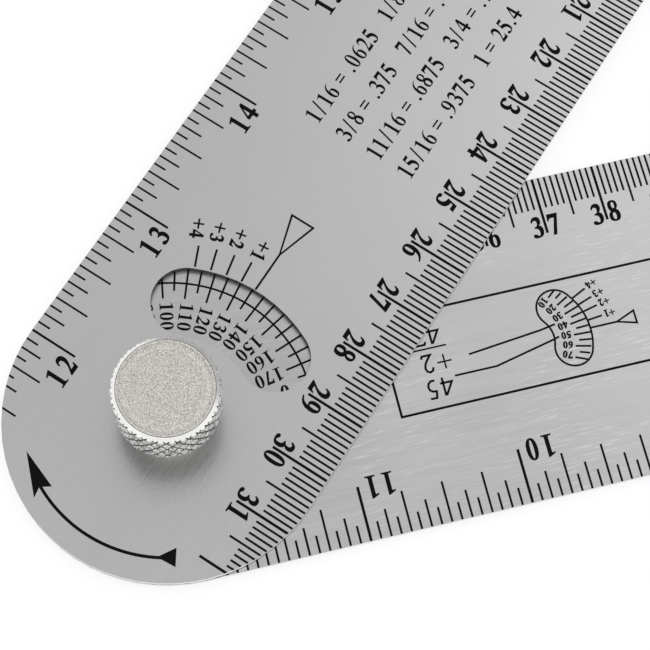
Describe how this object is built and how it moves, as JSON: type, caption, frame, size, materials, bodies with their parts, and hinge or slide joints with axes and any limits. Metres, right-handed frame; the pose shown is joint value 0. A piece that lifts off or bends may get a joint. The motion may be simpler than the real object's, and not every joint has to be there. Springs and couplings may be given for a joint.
{
  "type": "angle finder",
  "caption": "Angle finder: ruled steel arms hinged on a bolt and locked by a knurled thumb nut, with a degree dial read through a curved window in the front arm.",
  "frame": {"origin": "on the pivot axis, at the underside of the bolt's head, which the tool rests on", "axes": "+X along the back arm from the pivot to its far end, +Z along the pivot axis towards the knob"},
  "size_m": [0.3303, 0.2519, 0.0199],
  "materials": {
    "blade_steel": "satin, brushed along each arm",
    "bolt_steel": "bright zinc plated",
    "spacer_nylon": "natural nylon",
    "knob_nickel": "satin nickel, turned top and knurled side",
    "mark_ink": "black fill of the etched marks and numbers"
  },
  "bodies": {
    "base": {"back_arm": "blade_steel", "pivot_bolt": "bolt_steel", "spacer_washer": "spacer_nylon"},
    "front_arm": {"front_arm": "blade_steel"},
    "knob_carrier": {"knob_washer": "bolt_steel"},
    "knob": {"knob": "knob_nickel"}
  },
  "joints": [
    {"name": "arm_swing", "type": "hinge", "parent": "base", "child": "front_arm", "pos_m": [0, 0, 0.003], "axis": [0, 0, 1], "range_deg": [-43.3, 136.7]},
    {"name": "knob_lift", "type": "slide", "parent": "base", "child": "knob_carrier", "axis": [0, 0, 1], "range_m": [0, 0.005]},
    {"name": "knob_turn", "type": "hinge", "parent": "knob_carrier", "child": "knob", "pos_m": [0, 0, 0.004], "axis": [0, 0, 1], "range_deg": [0, 1800]}
  ],
  "couplings": [
    {"joint": "knob_lift", "follows": "knob_turn", "m_per_rad": 0.00015915}
  ]
}
